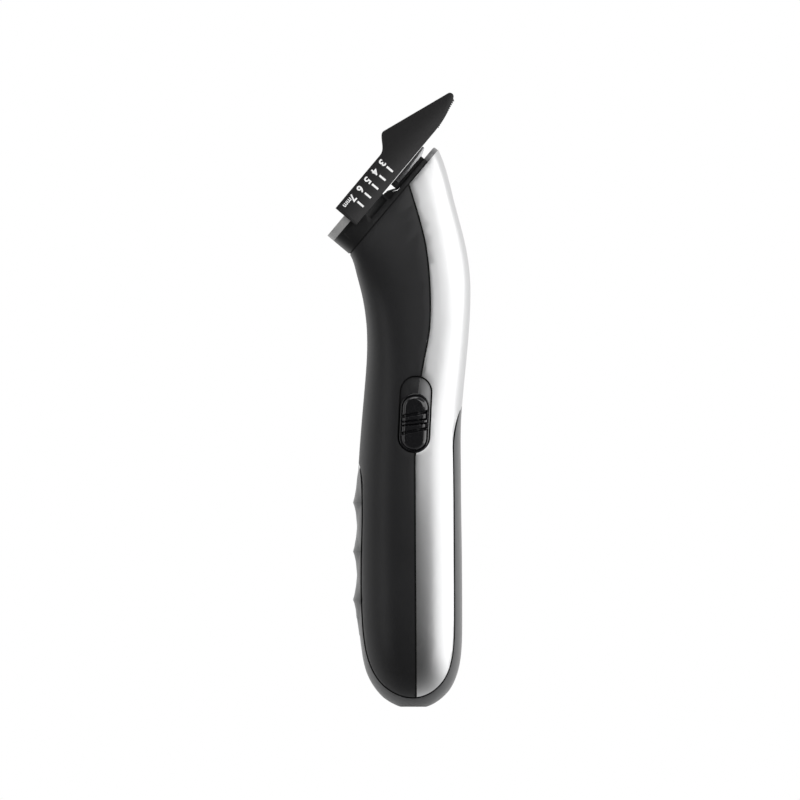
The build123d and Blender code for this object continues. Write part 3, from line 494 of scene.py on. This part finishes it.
def tick_mesh():
    """The five ticks of the scale, as thin raised prints."""
    corners, faces = [], []
    for count in range(len(SETTINGS)):
        u = FIRST_TICK + count * STEP
        first = len(corners)
        for depth in (0, TICK_THICKNESS):
            for du, dn in ((-1, -1), (1, -1), (1, 1), (-1, 1)):
                corners.append(on_head(u + du * TICK_HALF_WIDTH, TICK_HEIGHT + dn * TICK_HALF_LENGTH,
                                       depth - COMB_SIDE - PRINT_LIFT))
        front, back = range(first, first + 4), range(first + 4, first + 8)
        faces += [tuple(front), tuple(reversed(back))]
        faces += [(front[side - 1], back[side - 1], back[side], front[side]) for side in range(4)]
    mesh = bpy.data.meshes.new("comb_ticks")
    mesh.from_pydata(corners, [], faces)
    return mesh


def text_mesh(name, text, size, u, n, bold):
    """Flat raised lettering on the comb's side, its feet towards the skin side."""
    letters = bpy.data.curves.new(name, "FONT")
    letters.body = text
    letters.size = size * MM
    letters.align_x = "CENTER"
    letters.align_y = "CENTER"
    letters.extrude = LETTER_HALF_THICKNESS * MM
    letters.offset = bold * MM * size
    mesh = finished_mesh(link(bpy.data.objects.new(name + "_curve", letters)))
    across, up = -ALONG, -OUTWARD
    place = Matrix((across, up, across.cross(up))).transposed().to_4x4()
    place.translation = on_head(u, n, -COMB_SIDE - PRINT_LIFT)
    mesh.transform(place)
    return mesh


add_piece("comb_ticks", tick_mesh(), "comb", "print_white")
for count, digit in enumerate(SETTINGS):
    mesh = text_mesh(f"digit_{digit}", digit, DIGIT_SIZE, FIRST_TICK + count * STEP, DIGIT_HEIGHT, DIGIT_BOLD)
    add_piece(f"comb_digit_{digit}", mesh, "comb", "print_white")
unit = text_mesh("unit", "mm", UNIT_SIZE, FIRST_TICK - UNIT_BACK, UNIT_HEIGHT, UNIT_BOLD)
add_piece("comb_unit", unit, "comb", "print_white")

# ---------------------------------------------------------------- stage, lights and camera
VIEW_WIDTH = 0.224
VIEW_CENTRE = Vector((-3.83, 0, 85.9)) * MM
VIEW_DISTANCE = 1
NEAREST, FARTHEST = 0.01, 10
FLOOR_REACH = 3.0
FLOOR_DROP = 0.0002
FRONT_LIGHT, BACK_LIGHT = 0.055, 0.92  # how bright the room is behind the camera and behind the object
FRONT_EDGE, BACK_EDGE = -0.7, 0.9
ROOM_WHITE = (1, 1, 1, 1)


def floor():
    """A plain pale floor just under the foot. It isn't mirrored in the lacquer."""
    mesh = bpy.data.meshes.new("floor")
    square = [(x * FLOOR_REACH, y * FLOOR_REACH, 0) for x, y in ((-1, -1), (1, -1), (1, 1), (-1, 1))]
    mesh.from_pydata(square, [], [(0, 1, 2, 3)])
    ground = link(bpy.data.objects.new("floor", mesh))
    ground.location.z = cad_low.z - FLOOR_DROP
    mesh.materials.append(moulded("pale_floor", (0.74, 0.74, 0.74), 0.01, (0.6, 0.7), 200, 0.00001))
    ground.visible_glossy = False


def lamp(name, place, aim, width, height, watts):
    """A soft rectangular lamp at place that looks at aim."""
    data = bpy.data.lights.new(name, "AREA")
    data.shape = "RECTANGLE"
    data.size = width
    data.size_y = height
    data.energy = watts
    light = link(bpy.data.objects.new(name, data))
    light.location = place
    light.rotation_mode = "QUATERNION"
    light.rotation_quaternion = (Vector(aim) - Vector(place)).to_track_quat("-Z", "Y")
    return light


def room():
    """White to the camera's own rays, and for all others bright behind the object, dark before it."""
    world = bpy.data.worlds.new("studio")
    bpy.context.scene.world = world
    world.use_nodes = True
    tree = world.node_tree
    back = tree.nodes["Background"]
    back.inputs["Color"].default_value = ROOM_WHITE
    back.inputs["Strength"].default_value = 1.0
    walls = tree.nodes.new("ShaderNodeBackground")
    way = tree.nodes.new("ShaderNodeTexCoord")
    split = tree.nodes.new("ShaderNodeSeparateXYZ")
    depth = tree.nodes.new("ShaderNodeMapRange")
    depth.interpolation_type = "SMOOTHSTEP"
    depth.inputs["From Min"].default_value = FRONT_EDGE
    depth.inputs["From Max"].default_value = BACK_EDGE
    depth.inputs["To Min"].default_value = FRONT_LIGHT
    depth.inputs["To Max"].default_value = BACK_LIGHT
    tree.links.new(way.outputs["Generated"], split.inputs["Vector"])
    tree.links.new(split.outputs["Y"], depth.inputs["Value"])
    tree.links.new(depth.outputs["Result"], walls.inputs["Strength"])
    rays = tree.nodes.new("ShaderNodeLightPath")
    choose = tree.nodes.new("ShaderNodeMixShader")
    tree.links.new(rays.outputs["Is Camera Ray"], choose.inputs["Fac"])
    tree.links.new(walls.outputs["Background"], choose.inputs[1])
    tree.links.new(back.outputs["Background"], choose.inputs[2])
    tree.links.new(choose.outputs["Shader"], tree.nodes["World Output"].inputs["Surface"])


def lamps():
    """Panels at the sides and above, one for the neck alone, and a fill that isn't mirrored."""
    handle = (0, 0, 0.09)
    lamp("right_panel", (0.8, -0.02, 0.12), handle, 1.1, 1.0, 3.8)
    lamp("left_panel", (-0.75, -0.45, 0.2), handle, 0.35, 0.9, 0.8)
    lamp("top_soft", (-0.1, -0.25, 0.9), handle, 0.6, 0.6, 1.6)
    neck = lamp("neck_panel", (0.098, -0.145, 0.138), (0.01, 0, 0.12), 0.165, 0.085, 0.075)
    neck.visible_camera = False
    fill = lamp("front_fill", (0, -1.4, 0.2), handle, 1.2, 1.2, 11)
    fill.visible_glossy = False


def camera():
    """A level view square on to the on/off side."""
    data = bpy.data.cameras.new("camera")
    data.type = "ORTHO"
    data.ortho_scale = VIEW_WIDTH
    data.clip_start = NEAREST
    data.clip_end = FARTHEST
    eye = link(bpy.data.objects.new("camera", data))
    eye.location = VIEW_CENTRE + Vector((0, -VIEW_DISTANCE, 0))
    eye.rotation_mode = "QUATERNION"
    eye.rotation_quaternion = Vector((0, 1, 0)).to_track_quat("-Z", "Y")
    bpy.context.scene.camera = eye


floor()
room()
lamps()
camera()
bpy.context.scene.view_settings.view_transform = "Standard"
